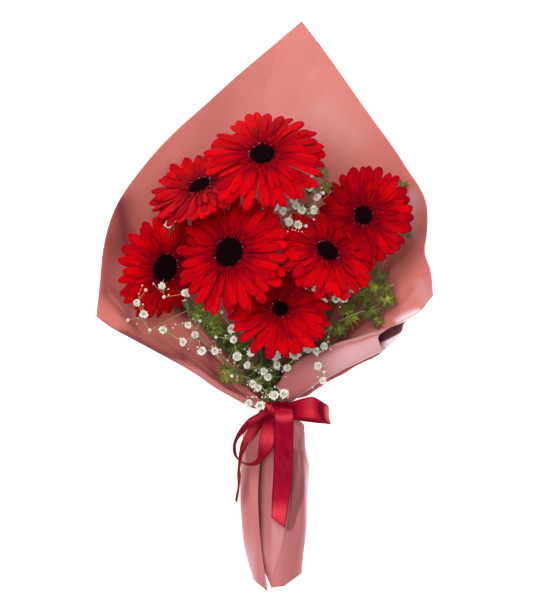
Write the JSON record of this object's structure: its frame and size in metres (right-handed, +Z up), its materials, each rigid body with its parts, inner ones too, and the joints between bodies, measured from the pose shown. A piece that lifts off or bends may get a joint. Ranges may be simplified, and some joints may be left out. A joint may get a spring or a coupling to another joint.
{
  "type": "hand-tied gerbera bouquet in a film wrap",
  "caption": "Red gerberas with gypsophila and fern, hand-tied in a pointed film wrap with a rolled collar and a satin ribbon bow, lying on its back.",
  "frame": {"origin": "on the surface, under the middle of the bounding box of the lying bouquet", "axes": "+Y from the cut stems to the tip of the wrap, +Z up from the surface to the flower faces, +X to the right of someone who looks down on it with the tip ahead"},
  "size_m": [0.3366, 0.5908, 0.1476],
  "materials": {
    "petal": "soft velvety red ray petals",
    "disc": "near-black maroon disc florets",
    "stem": "downy green stem",
    "fern": "fine yellow-green needles",
    "gypsophila": "matt white florets",
    "film": "matt dusty-rose film with a soft sheen",
    "ribbon": "red satin",
    "binding": "tan elastic band"
  },
  "bodies": {
    "root": {"gerbera_top_petals": "petal", "gerbera_top_disc": "disc", "gerbera_top_stem": "stem", "gerbera_upper_left_petals": "petal", "gerbera_upper_left_disc": "disc", "gerbera_upper_left_stem": "stem", "gerbera_right_petals": "petal", "gerbera_right_disc": "disc", "gerbera_right_stem": "stem", "gerbera_left_petals": "petal", "gerbera_left_disc": "disc", "gerbera_left_stem": "stem", "gerbera_middle_petals": "petal", "gerbera_middle_disc": "disc", "gerbera_middle_stem": "stem", "gerbera_lower_right_petals": "petal", "gerbera_lower_right_disc": "disc", "gerbera_lower_right_stem": "stem", "gerbera_bottom_petals": "petal", "gerbera_bottom_disc": "disc", "gerbera_bottom_stem": "stem", "wrap_film": "film", "stem_binding": "binding", "ribbon_bow": "ribbon", "gypsophila_upper": "gypsophila", "gypsophila_left": "gypsophila", "gypsophila_lower_left": "gypsophila", "gypsophila_bottom": "gypsophila", "gypsophila_right": "gypsophila", "fern_lower_left": "fern", "fern_small": "fern", "fern_right_low": "fern", "fern_right_high": "fern", "fern_behind_right": "fern", "fern_upper": "fern"}
  },
  "joints": []
}
